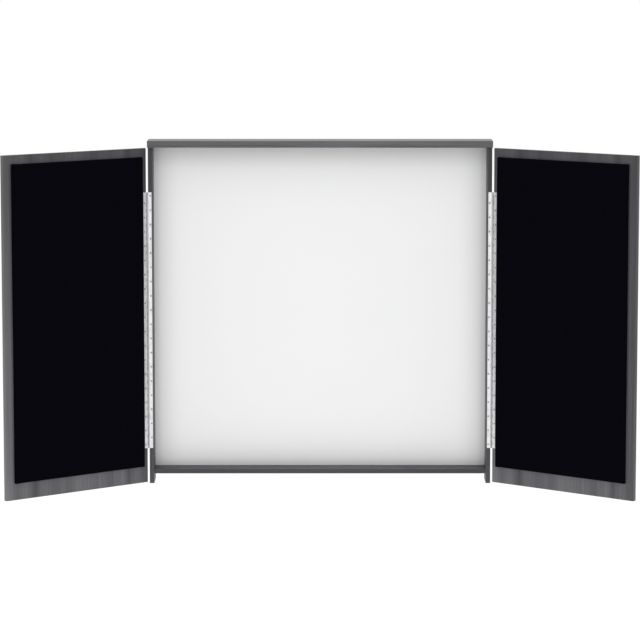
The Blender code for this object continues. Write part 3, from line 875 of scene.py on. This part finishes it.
def cam_form():
    """A cam's turned body, its cross slot and arrow on the face at z = 0, and its bolt's throat."""
    form = bmesh.new()
    lathe(form, CAM_PROFILE, FACETS["cam"])
    cam = make("cam_pattern", form, None)
    for x, y in ((CROSS_REACH, CROSS_WIDTH / 2), (CROSS_WIDTH / 2, CROSS_REACH)):
        cross = bmesh.new()
        block(cross, (-x, -y, -CROSS_DEPTH), (x, y, PAST_FACE))
        carve(cam, cross)
    arrow = bmesh.new()
    prism(arrow, ARROW, -ARROW_DEPTH, PAST_FACE)
    carve(cam, arrow)
    throat = bmesh.new()
    across = Matrix.Translation((0, 0, THROAT_HEIGHT - CAM_LENGTH)) @ Matrix.Rotation(math.pi / 2, 4, "Y")
    lathe(throat, THROAT_PROFILE, FACETS["cam_throat"], across)
    carve(cam, throat)
    return cam


def make_cams(material):
    """The eight cams, each with its face flush with the panel and its throat to the bolt."""
    pattern = cam_form()
    for side, sign in SIDES.items():
        for edge in ("top", "bottom"):
            for row in ("front", "rear"):
                node = f"{side}_{edge}_{row}_cam"
                low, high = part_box(node)
                middle = (low + high) / 2
                face = Vector((-sign, 0, 0)) if edge == "top" else Vector((0, 0, -1))
                bolt = Vector((0, 0, 1)) if edge == "top" else Vector((sign, 0, 0))
                turn = Matrix((bolt, face.cross(bolt), face)).transposed().to_4x4()
                centre = middle + face * abs((high - low).dot(face)) / 2
                cam = bpy.data.objects.new(f"{node}_disc", pattern.data.copy())
                bpy.context.scene.collection.objects.link(cam)
                cam.matrix_world = Matrix.Translation(centre) @ turn
                cam.data.materials.clear()
                cam.data.materials.append(material)
                settle(cam, "cabinet", "cam_zinc", node)
    bpy.data.objects.remove(pattern, do_unlink=True)


# ---- Finishes on the CAD nodes ------------------------------------------------------------

# The tones make one laminate lighter on the top panel and darker on the sides and bottom, as painted light and
# shade; the sides also darken toward their tops as painted shade.
PANEL_LOOKS = {
    "left_side_panel": {"tone": 0.70, "painted_top_shade": 0.10, "shine": 0.12},
    "right_side_panel": {"tone": 0.70, "painted_top_shade": 0.10, "shine": 0.12, "shift": 0.3},
    "top_panel": {"grain": "X", "tone": 0.98},
    "bottom_panel": {"grain": "X", "tone": 0.64, "shine": 0.15},
}
# The doors' lower tone and their darkening toward the top are painted shade.
DOOR_LOOK = {"figure": DOOR_FIGURE, "shift": 0.01, "tone": 0.72, "painted_top_shade": 0.28}

# How far the heart of each rail's tree is from the rail's middle: out from the wall, and down.
RAIL_HEARTS = {
    "cabinet_cleat": (0.02, 0.01),
    "wall_cleat": (0.05, 0.03),
    "lower_back_rail": (0.03, -0.02),
}

SLOT_FINISHES = {
    "screw_steel": "screw",
    "dowel_wood": "beech",
    "cam_zinc": "cam",
    "pull_nickel": "pull",
    "hinge_steel": "hinge",
    "pin_steel": "pin",
}


def paint(node, material):
    """Give a CAD node its finish."""
    mesh = frame["nodes"][node].data
    mesh.materials.clear()
    mesh.materials.append(material)


def paint_panels():
    """A laminate for each panel, with the print set out on that panel."""
    for node, look in PANEL_LOOKS.items():
        low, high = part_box(node)
        paint(node, laminate(f"laminate_{node}", low, high, (low + high) / 2, **look))
    for side in SIDES:
        node = f"{side}_door_panel"
        place = door_place(side)
        low, high = box_in(node, place)
        centre = place @ ((low + high) / 2)
        turn = place.to_euler().z
        paint(node, laminate(f"laminate_{node}", low, high, centre, turn, **DOOR_LOOK))


def paint_rails():
    """Pine on the rails, with their edges eased."""
    for node, (out, down) in RAIL_HEARTS.items():
        low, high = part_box(node)
        heart = (low + high) / 2 - Vector((0, out, down))
        paint(node, softwood(f"pine_{node}", heart))
        eased = frame["nodes"][node].modifiers.new("eased_edges", "BEVEL")
        eased.width = RAIL_ARRIS
        eased.segments = 2


def paint_rest(materials):
    """Every other CAD node: the fittings by their slots in the record, and the boards."""
    for subpart in frame["record"]["subparts"]:
        if subpart["material_slot"] in SLOT_FINISHES:
            paint(subpart["node"], materials[SLOT_FINISHES[subpart["material_slot"]]])
    paint("whiteboard", materials["back"])
    for side in SIDES:
        paint(f"{side}_tack_board", materials[f"{side}_tack"])


# ---- Assembly and stage -------------------------------------------------------------------


def make_materials():
    """Every finish but the panels' laminates and the rails' pine, which are made for each piece."""
    drawn = (900.0, 900.0, 25.0)
    rolled = (900.0, 900.0, 60.0)
    materials = {
        # The hinge strip and its knuckles are one plated steel: the strip is painted lighter and the knuckles
        # darker, as painted light and shade.
        "hinge": metal("hinge_steel", (0.87, 0.87, 0.88), 0.34, drawn, 0.00003),
        "roll": metal("hinge_rolls_painted_shade", (0.53, 0.53, 0.54), 0.40, rolled, 0.00003),
        "pin": metal("pin_steel", (0.60, 0.60, 0.62), 0.28, rolled, 0.00003),
        "screw": metal("screw_steel", (0.48, 0.48, 0.50), 0.30, (700.0,) * 3, 0.00004, 0.10),
        "cam": metal("cam_zinc", (0.58, 0.58, 0.60), 0.42, (500.0,) * 3, 0.00010, 0.08),
        "pull": metal("satin_nickel", (0.68, 0.66, 0.63), 0.27, (400.0,) * 3, 0.000003, 0.02),
        "beech": beech(),
        "face": writing_face(),
        "back": hardboard(),
    }
    for side in SIDES:
        place = door_place(side)
        cloth = tack_cloth(f"{side}_tack_cloth", place.translation, place.to_euler().z)
        materials[f"{side}_tack"] = cloth
    return materials


def make_stage():
    """A white room with a pale floor, and the camera."""
    scene = bpy.context.scene
    scene.view_settings.view_transform = "Standard"
    world = bpy.data.worlds.new("white_room")
    scene.world = world
    world.use_nodes = True
    background = world.node_tree.nodes["Background"]
    background.inputs["Color"].default_value = WHITE
    background.inputs["Strength"].default_value = 1.0

    low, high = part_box("left_side_panel")
    form = bmesh.new()
    bmesh.ops.create_grid(form, x_segments=FLOOR_CELLS, y_segments=FLOOR_CELLS, size=FLOOR_SIZE)
    floor = make("floor", form, floor_paint(), Matrix.Translation((0, 0, low.z - FLOOR_DROP)))

    lens = bpy.data.cameras.new("camera")
    lens.lens = LENS_MM
    lens.sensor_width = SENSOR_MM
    camera = bpy.data.objects.new("camera", lens)
    scene.collection.objects.link(camera)
    camera.location = (0, low.y - CAMERA_OUT, low.z + CAMERA_UP)
    camera.rotation_euler = (math.radians(90 - CAMERA_TILT_DEG), 0, 0)
    scene.camera = camera


def build():
    """Every piece, then the stage."""
    materials = make_materials()
    paint_rest(materials)
    paint_rails()
    paint_panels()
    pattern = screw_form()
    for side in SIDES:
        make_hinges(side, materials, pattern)
        tack_board(side, materials[f"{side}_tack"])
        bow_pull(side, materials["pull"])
    bpy.data.objects.remove(pattern, do_unlink=True)
    whiteboard(materials["face"], materials["back"])
    make_cams(materials["cam"])
    make_stage()


build()
